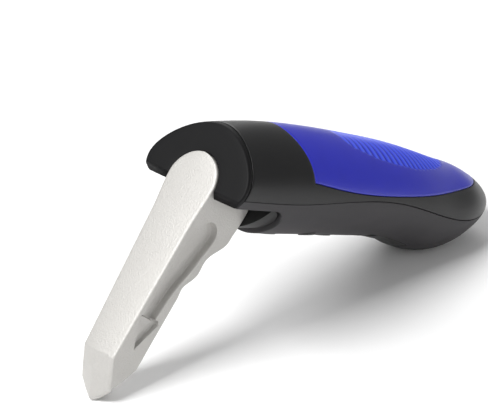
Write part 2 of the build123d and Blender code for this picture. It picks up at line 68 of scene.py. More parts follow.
# share of the body's length, top, bottom, share of the half width
SECTIONS = np.array([
    (-0.105, 16.6, -4.2, 1.12), (0.0, 18.4, -10.8, 1.055), (0.175, 19.8, -14.7, 1.005),
    (0.395, 18.9, -15.7, 0.99), (0.614, 16.5, -16.5, 1.0), (0.737, 14.8, -17.5, 1.0),
    (0.842, 12.8, -20.3, 1.0), (0.930, 10.8, -22.4, 0.985), (1.0, 9.2, -22.1, 0.962),
])
SEAM = 0.15
WALL = 1.6                      # depth of a moulded piece's turned-in edge
THROAT_WALL = 9.0               # and of the edge round the throat
CUTTER_START = 74.0
CUTTER_LENGTH = 24.0
CUTTER_HALF = 9.3
WINDOW_GAP = 0.25               # the cutter's window starts this far outside its insert
WINDOW_EASE = 0.2
PARTING = np.array([(-0.2, 2.6), (0.0, 1.5), (0.25, -0.2), (0.49, 0.7), (0.67, -0.2), (0.86, -4.3),
                    (1.0, -6.6), (1.12, -6.0), (1.32, -3.0)])
PAD_FRONT = np.array([(32.5, 6.5), (31.9, 13.0), (28.5, 21.0)])
# along, half width of the ribbed patch
RIB_OUTLINE = np.array([(55.8, 0.0), (56.3, 6.4), (58.1, 9.1), (63.2, 10.8), (68.5, 12.3), (76.8, 13.2),
                        (87.7, 13.3), (94.3, 12.3), (102.6, 10.2), (109.7, 7.0), (116.6, 0.0)])
RIB_FADE = 0.7
RIB_BOW = 0.0125
RIB_BOW_END = 82.0
RIB_BOW_LENGTH = 22.0
PAD_EDGE = np.array([(0.45, 3.5), (0.66, 2.0), (0.88, 2.2), (1.22, 4.3)])
THROAT_HEIGHT = -3.0
THROAT_BACK = 25.0
THROAT_RADIUS = 8.0
THROAT_OVERRUN = 4.0            # the throat's line starts this far ahead of the lobes
BELOW_GRIP = -20.0              # height below the form where that line ends

# ---- the bar and its collar --------------------------------------------------------------------------
BAR_FOOT = (-3.2, -0.45)
BAR_LEAN = math.radians(22.4)
BAR_REACH = 55.5
BAR_DEPTH = 12.4
NECK_DEPTH = 20.0
TIP_WIDTH = 13.3
WAIST_WIDTH = 17.0
FLARE_LENGTH = 10.5
ARCH_RADIUS = 9.6
ARCH_CENTRE = 2.0
GROOVE_DEPTH = 2.4
ARROW_DEPTH = 1.5
SCALLOPS = np.array([(1.0, -8.8), (0.74, -12.2), (0.34, -17.5), (0.36, -21.6), (0.1, -25.3), (-0.05, -27.8),
                     (0.0, -30.5)])
GROOVE_END = 15.0 - BAR_REACH
GROOVE = np.array([(2.0, GROOVE_END), (2.0, -27.0), (2.3, -18.0), (4.2, -10.0), (8.3, -5.9), (13.2, -8.6),
                   (12.9, -14.1), (11.5, -21.0), (9.4, -28.4), (8.1, GROOVE_END)])
ARROW = np.array([(2.0, GROOVE_END + 1), (1.2, GROOVE_END), (6.2, GROOVE_END - 10), (10.6, GROOVE_END),
                  (9.6, GROOVE_END + 1)])
# below the shoulder, front ridge depth, half width, front corner depth, rear corner depth, rear ridge depth
TIP = np.array([(0.0, 0.0, 6.65, 0.0, 12.4, 12.4), (5.0, 1.3, 6.65, 3.1, 9.3, 12.0),
                (9.0, 3.35, 6.45, 5.6, 6.3, 10.8), (12.0, 5.3, 3.2, 6.5, 7.0, 9.5),
                (13.8, 6.6, 0.8, 7.1, 7.6, 8.3)])
COLLAR_FACE = 0.8
COLLAR_LIP = 1.8
COLLAR_CHAMFER = 2.0
COLLAR_GAP = 0.2                # round the bar
LOBE_TURN = -0.6                # a turn of the form below the collar's lobes
SEAM_DEPTH = COLLAR_FACE + COLLAR_LIP
FLOOR_FLAT = 0.25

# ---- how finely the surfaces are drawn ---------------------------------------------------------------
LONG_LINE = 1200                # points of a long border
LINE = 400
FRONT_LINE = 300                # of the pad's front edge
SHORT_LINE = 200
UPPER_GRID = (240, 44)
LOWER_GRID = (190, 90)
LOWER_SIZE = (90.0, 40.0)       # about how long and wide the lower shell's half is, unrolled
PAD_GRID = (330, 56)
PAD_SIZE = (105.0, 32.0)
COLLAR_COLUMNS = 110
TIP_RINGS = 60
ARCH_RINGS = 36
FRONT_COLUMNS = 14
FLANK_COLUMNS = (10, 9, 12, 9, 10)      # before, over, between, over and behind the pocket's walls
FLANK_MARGIN = 0.15
POCKET_LINE = 140


# ---- curves and frames -------------------------------------------------------------------------------
def cubic(knots, values):
    """Natural cubic through values at knots: one linear system gives the bends, and each span is a cubic."""
    knots = np.asarray(knots, float)
    values = np.asarray(values, float)
    step = np.diff(knots)
    inner = np.arange(1, len(knots) - 1)
    matrix = np.eye(len(knots))
    matrix[inner, inner - 1] = step[:-1]
    matrix[inner, inner] = 2 * (step[:-1] + step[1:])
    matrix[inner, inner + 1] = step[1:]
    slope = np.diff(values, axis=0) / step[:, None]
    right = np.zeros_like(values)
    right[inner] = 6 * np.diff(slope, axis=0)
    bends = np.linalg.solve(matrix, right)

    def at(where):
        """The cubic's value: the line between two knots, bent by their bends."""
        i = np.clip(np.searchsorted(knots, where) - 1, 0, len(knots) - 2)
        span = step[i][..., None]
        a = (knots[i + 1] - where)[..., None] / span
        b = 1 - a
        bent = ((a**3 - a) * bends[i] + (b**3 - b) * bends[i + 1]) * span**2 / 6
        return a * values[i] + b * values[i + 1] + bent

    return at


def lengths(points):
    """Distance run along a polyline at each of its points."""
    steps = np.linalg.norm(np.diff(points, axis=0), axis=1)
    return np.concatenate([[0.0], np.cumsum(steps)])


def smooth_line(points, count):
    """A cubic drawn through a few points, parametrised by the chords between them."""
    run = lengths(points)
    return cubic(run, points)(np.linspace(0, run[-1], count))


def at_shares(line, shares):
    """Points of a polyline at shares of its length."""
    run = lengths(line)
    return np.stack([np.interp(shares * run[-1], run, line[:, k]) for k in range(line.shape[1])], -1)


def smooth_step(x):
    """0 below 0, 1 above 1 and a cubic ease between."""
    x = np.clip(x, 0, 1)
    return x * x * (3 - 2 * x)


LEAN_SIN = math.sin(BAR_LEAN)
LEAN_COS = math.cos(BAR_LEAN)


def bar_to_handle(depth, rise):
    """Along and height of a place given in the bar frame."""
    along = BAR_FOOT[0] + rise * LEAN_SIN + depth * LEAN_COS
    height = BAR_FOOT[1] + rise * LEAN_COS - depth * LEAN_SIN
    return along, height


def from_bar(depth, rise, across):
    """Handle-frame points of bar-frame places."""
    along, height = bar_to_handle(depth, rise)
    return np.stack([along, across, height], -1)


def in_bar(points):
    """Depth and rise of handle-frame points."""
    along, height = points[:, 0] - BAR_FOOT[0], points[:, 2] - BAR_FOOT[1]
    return along * LEAN_COS - height * LEAN_SIN, along * LEAN_SIN + height * LEAN_COS


TIP_FOOT = bar_to_handle(TIP[-1, 5], -BAR_REACH - TIP[-1, 0])
PITCH = math.atan2(SECTIONS[-1, 2] - TIP_FOOT[1], BODY_LENGTH - TIP_FOOT[0])
PITCH_COS = math.cos(PITCH)
PITCH_SIN = math.sin(PITCH)
TIP_FRONT = bar_to_handle(TIP[-1, 1], -BAR_REACH - TIP[-1, 0])
FRONT_X = TIP_FRONT[0] * PITCH_COS + TIP_FRONT[1] * PITCH_SIN
FOOT_Z = TIP_FOOT[1] * PITCH_COS - TIP_FOOT[0] * PITCH_SIN


def to_row(points):
    """Handle-frame points (along, across, height) in the frame's metres, flattened at the floor."""
    along, across, height = points[..., 0], points[..., 1], points[..., 2]
    x = along * PITCH_COS + height * PITCH_SIN + OFFSET_X
    z = height * PITCH_COS - along * PITCH_SIN - FOOT_Z - FLOOR_FLAT
    return np.stack([x, across, np.maximum(z, 0)], -1) * MM


def from_row(points):
    """Along and across of points given in the frame's metres: to_row undone."""
    x, y, z = np.moveaxis(points / MM, -1, 0)
    return (x - OFFSET_X) * PITCH_COS - (z + FOOT_Z + FLOOR_FLAT) * PITCH_SIN, y


# The handle's end, the farthest point of the form, has the box's other corner on it.
CAP_END = (BODY_LENGTH + CAP_REACH, (SECTIONS[-1, 1] + SECTIONS[-1, 2]) / 2 + CAP_RISE)
OFFSET_X = -(FRONT_X + CAP_END[0] * PITCH_COS + CAP_END[1] * PITCH_SIN) / 2


def form_rows():
    """Along, middle, half height and half width of every section, the rounded end down to its pole."""
    share, top, bottom, width = SECTIONS.T
    body = np.stack([share * BODY_LENGTH, (top + bottom) / 2, (top - bottom) / 2, width * HALF_GRIP], -1)
    _, middle, half_height, half_width = body[-1]
    reach = np.sin(CAP_ANGLES)
    closing = np.clip(np.cos(CAP_ANGLES), 0, 1) ** CAP_POWER
    above = (half_height - CAP_TAPER[0] * reach) * closing
    below = (half_height - CAP_TAPER[1] * reach) * closing
    cap = np.stack([
        BODY_LENGTH + CAP_LENGTH * reach,
        middle + CAP_RISE * reach + (above - below) / 2,
        (above + below) / 2,
        (half_width - CAP_TAPER[2] * reach) * closing,
    ], -1)
    return np.concatenate([body, cap])


ROWS = form_rows()
TRAVEL = lengths(ROWS)
TRAVEL_END = TRAVEL[-1]
form_at = cubic(TRAVEL, ROWS)
FINE_TRAVEL = np.linspace(0, TRAVEL_END, 4000)
FINE_ROWS = form_at(FINE_TRAVEL)


def unit_section(turn):
    """Across and height of a section of unit size: each quarter is a cubic Bezier; turn -1 is the bottom."""
    q = np.abs(turn)
    p = 1 - q
    across = p**3 + 3 * q * p**2 + 3 * FULLNESS * q**2 * p
    height = 3 * FULLNESS * q * p**2 + 3 * q**2 * p + q**3
    return across, np.sign(turn) * height


FINE_TURN = np.linspace(-1, 1, 2001)
FINE_HEIGHT = unit_section(FINE_TURN)[1]


def skin(travel, turn):
    """Handle-frame point of the form: the unit section scaled and lifted by the row at that travel."""
    rows = form_at(travel)
    across, height = unit_section(turn)
    return np.stack([rows[..., 0], rows[..., 3] * across, rows[..., 1] + rows[..., 2] * height], -1)


def skin_normal(travel, turn):
    """Outward normal: the cross product of the form's two slopes, taken just short of the pole."""
    step = 1e-3
    travel = np.minimum(travel, TRAVEL_END - 0.4)
    ahead = skin(travel + step, turn) - skin(travel - step, turn)
    upwards = skin(travel, np.minimum(turn + step, 1)) - skin(travel, np.maximum(turn - step, -1))
    normal = np.cross(upwards, ahead)
    normal /= np.linalg.norm(normal, axis=-1, keepdims=True)
    return normal


def flat(travel, turn):
    """The half form unrolled round its pole: meridians are rays and the pole is the middle."""
    reach = TRAVEL_END - travel
    angle = turn * math.pi / 2
    return np.stack([reach * np.cos(angle), reach * np.sin(angle)], -1)


def unflat(points):
    """Travel and turn of an unrolled point."""
    reach = np.hypot(points[..., 0], points[..., 1])
    turn = np.arctan2(points[..., 1], np.maximum(points[..., 0], 0)) / (math.pi / 2)
    return TRAVEL_END - reach, turn


def on_side(line):
    """Unrolled points of a side-view curve (along, height) as it lies on the form, cut where it leaves it."""
    travel = np.interp(line[:, 0], FINE_ROWS[:, 0], FINE_TRAVEL)
    rows = form_at(travel)
    share = (line[:, 1] - rows[:, 1]) / np.maximum(rows[:, 2], 1e-6)
    out = np.flatnonzero(np.abs(share) >= 1)
    inside = np.flatnonzero(np.abs(share) < 1)
    last = len(share) - 1
    if len(out) and out[-1] > inside[0]:
        last = out[out > inside[0]][0]
    keep = slice(inside[0], last + 1)
    turn = np.interp(np.clip(share[keep], -1, 1), FINE_HEIGHT, FINE_TURN)
    return flat(travel[keep], turn)


def on_depth(depth, turns):
    """Unrolled points where the form meets a plane across the bar, at each turn, by bisection."""
    low = np.zeros_like(turns)
    high = np.full_like(turns, TRAVEL[4])
    for _ in range(40):
        middle = (low + high) / 2
        reached = in_bar(skin(middle, turns))[0] < depth
        low = np.where(reached, middle, low)
        high = np.where(reached, high, middle)
    return flat(low, turns)


# ---- mesh building -----------------------------------------------------------------------------------
def grid_faces(rows, columns, start=0):
    """Quads of a grid of points, numbered row by row."""
    index = start + np.arange(rows * columns).reshape(rows, columns)
    corners = (index[:-1, :-1], index[1:, :-1], index[1:, 1:], index[:-1, 1:])
    return np.stack(corners, -1).reshape(-1, 4)


def new_piece(name, points, faces, material, replaced):
    """A mesh from points in metres: doubles merged, slivers dropped, normals outwards, smooth."""
    mesh = bpy.data.meshes.new(name)
    mesh.from_pydata(points.reshape(-1, 3).tolist(), [], [list(face) for face in faces])
    work = bmesh.new()
    work.from_mesh(mesh)
    bmesh.ops.remove_doubles(work, verts=work.verts, dist=2e-6)
    bmesh.ops.dissolve_degenerate(work, dist=1e-7, edges=work.edges)
    bmesh.ops.recalc_face_normals(work, faces=work.faces)
    work.to_mesh(mesh)
    work.free()
    mesh.polygons.foreach_set("use_smooth", [True] * len(mesh.polygons))
    piece = bpy.data.objects.new(name, mesh)
    bpy.context.scene.collection.objects.link(piece)
    mesh.materials.append(material)
    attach(piece, "root")
    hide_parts(*replaced)
    return piece


def apply_modifiers(piece):
    """Bakes the piece's modifiers into its mesh."""
    graph = bpy.context.evaluated_depsgraph_get()
    mesh = bpy.data.meshes.new_from_object(piece.evaluated_get(graph))
    piece.modifiers.clear()
    piece.data = mesh


def thicken(piece, wall):
    """Gives an open skin its wall, inwards."""
    modifier = piece.modifiers.new("wall", "SOLIDIFY")
    modifier.thickness = wall * MM
    modifier.offset = -1
    apply_modifiers(piece)


ROUND_STEPS = np.radians([0, 18, 36, 54, 72, 90])


def edge_shares(count, length, radius, at_start, at_end):
    """Shares along a grid line: even, with close ones where an edge is rounded."""
    close = radius * (1 - np.cos(ROUND_STEPS)) / length
    low = close if at_start else np.zeros(1)
    high = 1 - close[::-1] if at_end else np.ones(1)
    return np.concatenate([low, np.linspace(low[-1], high[0], count)[1:-1], high])


def blended(front, rear, low, high, s, t):
    """A Coons grid from borders given at s and t: both rulings added, less the corners' bilinear share."""
    s = s[:, None, None]
    t = t[None, :, None]
    ruled = (1 - t) * low[:, None] + t * high[:, None] + (1 - s) * front[None] + s * rear[None]
    return ruled - ((1 - s) * ((1 - t) * low[0] + t * high[0]) + s * ((1 - t) * low[-1] + t * high[-1]))


def coons(front, rear, low, high, s, t):
    """A Coons grid between four polylines, read at shares of their lengths."""
    return blended(at_shares(front, t), at_shares(rear, t), at_shares(low, s), at_shares(high, s), s, t)


def rounded_inset(distance, radius):
    """How far a rounded edge falls below the skin at a distance from it: a quarter circle."""
    inner = np.clip(radius - distance, 0, radius)
    return radius - np.sqrt(np.maximum(radius**2 - inner**2, 0))


def mirrored(point):
    """Points and faces of a half and its mirror image."""
    other = point * np.array([1, -1, 1])
    rows, columns = point.shape[:2]
    faces = np.concatenate([grid_faces(rows, columns), grid_faces(rows, columns, rows * columns)[:, ::-1]])
    return np.concatenate([point.reshape(-1, 3), other.reshape(-1, 3)]), faces


# ---- the bar -----------------------------------------------------------------------------------------
def bar_half_width(rise):
    """Half the bar's width: a straight taper, a Hermite flare that ends upright, and a circle over it."""
    slope = (WAIST_WIDTH - TIP_WIDTH) / 2 / (BAR_REACH - FLARE_LENGTH)
    span = FLARE_LENGTH + ARCH_CENTRE
    share = np.clip((rise + FLARE_LENGTH) / span, 0, 1)
    taper = WAIST_WIDTH / 2 + np.minimum(rise + FLARE_LENGTH, 0) * slope
    ease = share**2 * (3 - 2 * share)
    flare = (ARCH_RADIUS - WAIST_WIDTH / 2) * ease + span * slope * share * (1 - share) ** 2
    arch = np.sqrt(np.maximum(ARCH_RADIUS**2 - np.maximum(rise - ARCH_CENTRE, 0) ** 2, 0))
    return np.where(rise > ARCH_CENTRE, arch, taper + flare)


def bar_rear_depth(rise):
    """Depth of the bar's rear: a cubic through the scallops, straight above and below them."""
    depth = BAR_DEPTH + SCALLOPS[:, 0] * (NECK_DEPTH - BAR_DEPTH)
    points = np.stack([depth, SCALLOPS[:, 1]], -1)
    above = points[0] + np.array([[0, 4], [0, 2]])
    below = points[-1] - np.array([[0, 2], [0, 4]])
    line = smooth_line(np.concatenate([above, points, below]), LINE)[::-1]
    return np.interp(rise, line[:, 1], line[:, 0])


def distance_inside(depth, rise, outline):
    """Distance to a closed outline, positive inside it: its nearest segment, signed by a crossing count."""
    start = outline[None]
    ahead = np.roll(outline, -1, axis=0)[None] - start
    place = np.stack([depth, rise], -1).reshape(-1, 1, 2)
    away = place - start
    share = np.clip((away * ahead).sum(-1) / (ahead**2).sum(-1), 0, 1)
    nearest = np.linalg.norm(away - ahead * share[..., None], axis=-1).min(1)
    end = start + ahead
    crossed = (start[..., 1] > place[..., 1]) != (end[..., 1] > place[..., 1])
    slant = np.where(np.abs(ahead[..., 1]) < 1e-9, 1e-9, ahead[..., 1])
    at = start[..., 0] + away[..., 1] * ahead[..., 0] / slant
    inside = (crossed & (place[..., 0] < at)).sum(1) % 2 == 1
    return np.where(inside, nearest, -nearest).reshape(depth.shape)


def pocket_inset(depth, rise, wall):
    """How deep the pocket and the arrowhead under it are: flat floors with steep eased walls."""
    groove = smooth_line(GROOVE, POCKET_LINE)
    pocket = GROOVE_DEPTH * smooth_step(distance_inside(depth, rise, groove) / wall)
    arrow = ARROW_DEPTH * smooth_step(distance_inside(depth, rise, ARROW) / wall)
    return np.maximum(pocket, arrow)


def flank_columns(rise, start, end, wall):
    """Depths of the flank's columns in each ring: close together over the pocket's two walls, which they
    follow from the arrowhead's point to the pocket's top, and evenly spread between them."""
    outline = smooth_line(GROOVE, LINE)
    top = np.argmax(outline[:, 1])
    arrow_front, arrow_rear = ARROW[[2, 1, 0]], ARROW[[2, 3, 4]]
    fore = np.concatenate([arrow_front, outline[1:top + 1]])
    aft = np.concatenate([arrow_rear, outline[:top - 1:-1][1:]])
    fore = np.interp(rise, fore[:, 1], fore[:, 0])
    aft = np.interp(rise, aft[:, 1], aft[:, 0])
    fore = np.clip(fore, start + 0.5, end - 3.0)
    aft = np.clip(aft, fore + 1.2, end - 0.5)
    middle = (fore + aft) / 2
    over = wall + FLANK_MARGIN
    knots = [start, fore - FLANK_MARGIN, np.minimum(fore + over, middle - 0.1),
             np.maximum(aft - over, middle + 0.1), aft + FLANK_MARGIN, end]
    spans = [a + np.linspace(0, 1, n + 1)[None, :-1] * (b - a)
             for a, b, n in zip(knots[:-1], knots[1:], FLANK_COLUMNS)]
    return np.concatenate(spans + [end], 1)


def bar_rises():
    """Rises of the bar's rings, from its tip to the top of its arch, closest where the pocket ends."""
    tip = -BAR_REACH - np.linspace(TIP[-1, 0], 0, TIP_RINGS)[:-1]
    # where a stretch starts, its number of rings
    stretches = [(-BAR_REACH, 12), (GROOVE_END - 10.5, 10), (GROOVE_END - 9.5, 24), (GROOVE_END - 0.8, 24),
                 (GROOVE_END + 1.6, 80), (-10.0, 50), (-5.0, 20), (ARCH_CENTRE, 0)]
    shank = [np.linspace(start, end, rings + 1)[:-1]
             for (start, rings), (end, _) in zip(stretches, stretches[1:])]
    arch = ARCH_CENTRE + ARCH_RADIUS * np.sin(np.linspace(0, math.pi / 2, ARCH_RINGS))
    return np.concatenate([tip] + shank + [arch])


def bar_half(settings):
    """Half of the bar, ring by ring: each ring runs from the middle of the front, round the near corner, over
    the flank with its pocket, and round the rear corner to the middle."""
    corner = settings.bar_edge / MM
    rise = bar_rises()[:, None]
    drop = np.clip(-BAR_REACH - rise, 0, None)
    ridge, tip_half, front_corner, rear_corner, rear_ridge = [
        np.interp(drop, TIP[:, 0], TIP[:, k]) for k in range(1, 6)
    ]
    half = np.where(drop > 0, tip_half, bar_half_width(rise))
    depth_below = bar_rear_depth(rise)
    rear_corner = np.where(drop > 0, rear_corner, depth_below)
    rear_ridge = np.where(drop > 0, rear_ridge, depth_below)
    corner = np.minimum(corner, 0.3 * half)
    rear_edge = np.minimum(2 * corner, 0.3 * half)
    front = np.linspace(0, 1, FRONT_COLUMNS)[None]
    bend = np.radians([15, 30, 45, 60, 75])[None]
    crown = settings.bar_crown / MM * np.minimum(half / (TIP_WIDTH / 2), 1)

    def front_depth(across):
        """Straight from the ridge to the corner, bulged by a parabola."""
        share = across / np.maximum(half, 1e-6)
        return ridge + (front_corner - ridge) * share + crown * share**2

    across = [front * (half - corner)]
    depth = [front_depth(across[0])]
    start = front_depth(half)
    across.append(half - corner * (1 - np.sin(bend)))
    depth.append(start + corner * (1 - np.cos(bend)))
    flank_from, flank_to = start + corner, np.maximum(rear_corner - rear_edge, start + corner)
    wall = settings.pocket_wall / MM
    even = flank_from + np.linspace(0, 1, sum(FLANK_COLUMNS) + 1)[None] * (flank_to - flank_from)
    flank = np.where(drop > 0, even, flank_columns(rise, flank_from, flank_to, wall))
    across.append(half - pocket_inset(flank, rise + 0 * flank, wall))
    depth.append(flank)
    across.append(half - rear_edge * (1 - np.cos(bend)))
    depth.append(flank_to + rear_edge * np.sin(bend))
    across.append((half - rear_edge) * (1 - front))
    depth.append(flank_to + rear_edge + (rear_ridge - rear_corner) * front)
    across, depth = np.concatenate(across, 1), np.concatenate(depth, 1)
    return from_bar(depth, rise, across)


def build_bar(settings):
    """The bar as a closed surface, with one face across its tip."""
    half = bar_half(settings)
    points, faces = mirrored(half)
    columns = half.shape[1]
    other = half.shape[0] * columns
    tip = list(range(columns)) + [other + k for k in range(columns - 2, 0, -1)]
    return new_piece("support_bar_body", to_row(points), faces.tolist() + [tip], bar_metal(settings),
                     ["support_bar"])


# ---- the collar --------------------------------------------------------------------------------------
def collar_start(depth):
    """Rise of the lobes' chamfered underside at a depth."""
    return COLLAR_CHAMFER * (SEAM_DEPTH - depth) / COLLAR_LIP


def collar_inner(depth):
    """The arch round the bar at a depth: half of it upright, then a quarter circle to the top."""
    radius = ARCH_RADIUS + COLLAR_GAP
    rise = np.linspace(collar_start(depth), ARCH_CENTRE, 40)
    upright = np.stack([rise, bar_half_width(rise) + COLLAR_GAP], -1)
    angle = np.linspace(0, math.pi / 2, 90)
    top = np.stack([ARCH_CENTRE + radius * np.sin(angle), radius * np.cos(angle)], -1)
    line = at_shares(np.concatenate([upright, top[1:]]), np.linspace(0, 1, COLLAR_COLUMNS))
    return from_bar(depth, line[:, 0], line[:, 1])


def collar_outer(depth):
    """The form's outline in a plane at a depth, from the lobe's underside to the top."""
    point = skin(*unflat(on_depth(depth, np.linspace(LOBE_TURN, 1, LINE))))
    line = point[in_bar(point)[1] >= collar_start(depth)]
    return at_shares(line, np.linspace(0, 1, COLLAR_COLUMNS))


def bent(start, corner, end):
    """A quadratic Bezier round a corner, point by point."""
    t = np.linspace(0, 1, 6)[:, None, None]
    return list((1 - t) ** 2 * start + 2 * t * (1 - t) * corner + t**2 * end)


def towards(start, end, distance):
    """The point a distance from start on the way to end."""
    way = end - start
    return start + way * distance / np.linalg.norm(way, axis=-1, keepdims=True)


def build_collar(settings):
    """The collar: one loop, from the arch over the face and rim to the seam, carried round the bar."""
    rim = settings.collar_edge / MM
    face = COLLAR_FACE
    inner, outer = collar_inner(face), collar_outer(face)
    seam_inner, seam_outer = collar_inner(SEAM_DEPTH), collar_outer(SEAM_DEPTH)
    loop = [seam_inner]
    loop += bent(collar_inner(face + rim / 2), inner, towards(inner, outer, rim / 2))
    loop += [inner + share * (outer - inner) for share in (0.25, 0.5, 0.75)]
    loop += bent(towards(outer, inner, rim), outer, collar_outer(face + rim))
    loop.append(collar_outer((face + SEAM_DEPTH) / 2))
    loop += bent(collar_outer(SEAM_DEPTH - rim), seam_outer, towards(seam_outer, seam_inner, rim))
    loop.append(towards(seam_outer, seam_inner, 2 * WALL))
    half = np.stack(loop + [seam_inner], 1)
    points, faces = mirrored(half)
    columns = half.shape[1]
    other = half.shape[0] * columns
    caps = [list(range(columns - 1)), [other + k for k in range(columns - 2, -1, -1)]]
    return new_piece("front_collar_body", to_row(points), faces.tolist() + caps, collar_plastic(settings),
                     ["front_collar"])


# ---- the shells and the pad --------------------------------------------------------------------------
def parting_line(offset):
    """The wavy joint between the shells, moved up by an offset."""
    line = smooth_line(PARTING * np.array([BODY_LENGTH, 1]), LONG_LINE)
    return line + np.array([0, offset])


def pad_lines(gap):
    """The pad's front and lower edges, drawn in by a gap."""
    edge = np.concatenate([PAD_FRONT[:1], PAD_EDGE * np.array([BODY_LENGTH, 1])])
    front = smooth_line(PAD_FRONT, FRONT_LINE) + np.array([gap, 0])
    lower = smooth_line(edge, LONG_LINE) + np.array([0, gap])
    lower[:, 0] += gap * np.linspace(1, 0, len(lower))
    front[0] = lower[0]
    return on_side(front), on_side(lower)


def seam_at(depth, low_turn, high_turn):
    """The shells' front edge between two turns."""
    return on_depth(depth, np.linspace(low_turn, high_turn, SHORT_LINE))


def meridian(start, end, turn):
    """A straight way along the top or the bottom of the form, between two travels."""
    return flat(np.linspace(start, end, SHORT_LINE), np.full(SHORT_LINE, float(turn)))


def behind_seam(line, depth):
    """The part of an unrolled line that lies behind the front seam, from where it crosses it."""
    reached = in_bar(skin(*unflat(line)))[0]
    return line[np.flatnonzero(reached >= depth)[0]:]


def build_upper(settings):
    """Upper shell: a strip from the front seam and the parting line in to the pad's edge, over the pommel."""
    depth = SEAM_DEPTH + SEAM
    parting = behind_seam(on_side(parting_line(SEAM / 2)), depth)
    pad_front, pad_lower = pad_lines(0)
    seam = seam_at(depth, unflat(parting[0])[1], 1)
    seam[0] = parting[0]
    pole_from = unflat(parting[-1])[0]
    pad_to = unflat(pad_lower[-1])[0]
    split = lengths(pad_front)[-1] / (lengths(pad_front)[-1] + lengths(pad_lower)[-1])
    front_count = int(LINE * split)
    fore, aft = np.linspace(0, 1, front_count), np.linspace(0, 1, LINE - front_count)
    low = np.concatenate([at_shares(seam[::-1], fore), at_shares(parting, aft)[1:]])
    high = np.concatenate([at_shares(pad_front[::-1], fore), at_shares(pad_lower, aft)[1:]])
    front = meridian(unflat(low[0])[0], unflat(high[0])[0], 1)
    rear = np.concatenate([meridian(pole_from, TRAVEL_END, -1), meridian(TRAVEL_END, pad_to, 1)[1:]])
    radius = settings.shell_edge / MM
    rows, columns = UPPER_GRID
    s = np.linspace(0, 1, rows)
    t = edge_shares(columns, np.linalg.norm(high - low, axis=1).mean(), radius, True, True)
    matched = np.linspace(0, 1, len(low))
    low_at = np.stack([np.interp(s, matched, low[:, k]) for k in (0, 1)], -1)
    high_at = np.stack([np.interp(s, matched, high[:, k]) for k in (0, 1)], -1)
    grid = blended(at_shares(front, t), at_shares(rear, t), low_at, high_at, s, t)
    return finish_skin("upper_shell_body", grid, ("low", "high"), radius, None, upper_plastic(settings),
                       ["upper_shell"])


def finish_skin(name, grid, real, radius, relief, material, replaced, low_wall=None):
    """Turns an unrolled half grid into a piece with rounded edges where it is real, a wall and its mirror
    half. Its relief says how far each point sinks below the form."""
    travel, turn = unflat(grid)
    point = skin(travel, turn)
    normal = skin_normal(travel, turn)
    inset = np.zeros(travel.shape)
    for axis, start, end in ((0, "front", "rear"), (1, "low", "high")):
        run = np.cumsum(np.linalg.norm(np.diff(point, axis=axis), axis=-1), axis=axis)
        run = np.concatenate([np.zeros_like(np.take(run, [0], axis=axis)), run], axis=axis)
        if start in real:
            inset = np.maximum(inset, rounded_inset(run, radius))
        if end in real:
            inset = np.maximum(inset, rounded_inset(np.take(run, [-1], axis=axis) - run, radius))
    if relief is not None:
        inset = inset + relief(point)
    skirt = [(int("front" in real), int("rear" in real)), (int("low" in real), int("high" in real))]
    deep = np.pad(np.zeros(inset.shape), skirt, constant_values=WALL)
    if low_wall:
        deep[:, 0] = low_wall
    inset = np.maximum(np.pad(inset, skirt, mode="edge"), deep)
    point = np.pad(point, skirt + [(0, 0)], mode="edge")
    normal = np.pad(normal, skirt + [(0, 0)], mode="edge")
    points, faces = mirrored(point - normal * inset[..., None])
    piece = new_piece(name, to_row(points), faces.tolist(), material, replaced)
    thicken(piece, WALL / 2)
    return piece


def build_lower(settings):
    """Lower shell: a patch between the throat's edge, the parting line, the front seam and the underside."""
    depth = SEAM_DEPTH + SEAM
    parting = behind_seam(on_side(parting_line(-SEAM / 2)), depth)
    throat = behind_seam(on_side(throat_line()), depth)
    seam = seam_at(depth, unflat(throat[0])[1], unflat(parting[0])[1])
    seam[0], seam[-1] = throat[0], parting[0]
    rear = meridian(unflat(throat[-1])[0], unflat(parting[-1])[0], -1)
    rear[0], rear[-1] = throat[-1], parting[-1]
    radius = settings.shell_edge / MM
    s = edge_shares(LOWER_GRID[0], LOWER_SIZE[0], radius, True, False)
    t = edge_shares(LOWER_GRID[1], LOWER_SIZE[1], radius, True, True)
    grid = coons(seam, rear, throat, parting, s, t)
    return finish_skin("lower_shell_body", grid, ("front", "low", "high"), radius, cutter_window,
                       lower_rubber(settings), ["lower_shell"], THROAT_WALL)


def cutter_window(point):
    """Recess in the underside round the cutter's insert, a millimetre deep."""
    along, across, height = np.moveaxis(point, -1, 0)
    ahead = np.minimum(along - CUTTER_START, CUTTER_START + CUTTER_LENGTH - along)
    inside = np.minimum(np.minimum(ahead, CUTTER_HALF - np.abs(across)), -height)
    return smooth_step((inside + WINDOW_GAP) / WINDOW_EASE)


def throat_line():
    """The lower shell's edge round the throat: a slope from the lobes, an arc and a straight way down."""
    lobe_along, lobe_height = bar_to_handle(SEAM_DEPTH, 0)
    slope = (THROAT_HEIGHT - lobe_height) / (THROAT_BACK - lobe_along)
    tilt = math.atan(slope)
    turned = math.pi / 2 + tilt
    reach = THROAT_RADIUS * math.tan(turned / 2)
    begin = np.array([THROAT_BACK - reach * math.cos(tilt), THROAT_HEIGHT - reach * math.sin(tilt)])
    centre = begin + THROAT_RADIUS * np.array([math.sin(tilt), -math.cos(tilt)])
    angle = math.pi / 2 + tilt - np.linspace(0, turned, 60)
    arc = centre + THROAT_RADIUS * np.stack([np.cos(angle), np.sin(angle)], -1)
    along = np.linspace(lobe_along - THROAT_OVERRUN, begin[0], SHORT_LINE)[:-1]
    line = np.stack([along, THROAT_HEIGHT + slope * (along - THROAT_BACK)], -1)
    down = np.stack([np.full(SHORT_LINE, THROAT_BACK), np.linspace(arc[-1, 1], BELOW_GRIP, SHORT_LINE)], -1)
    return np.concatenate([line, arc, down[1:]])


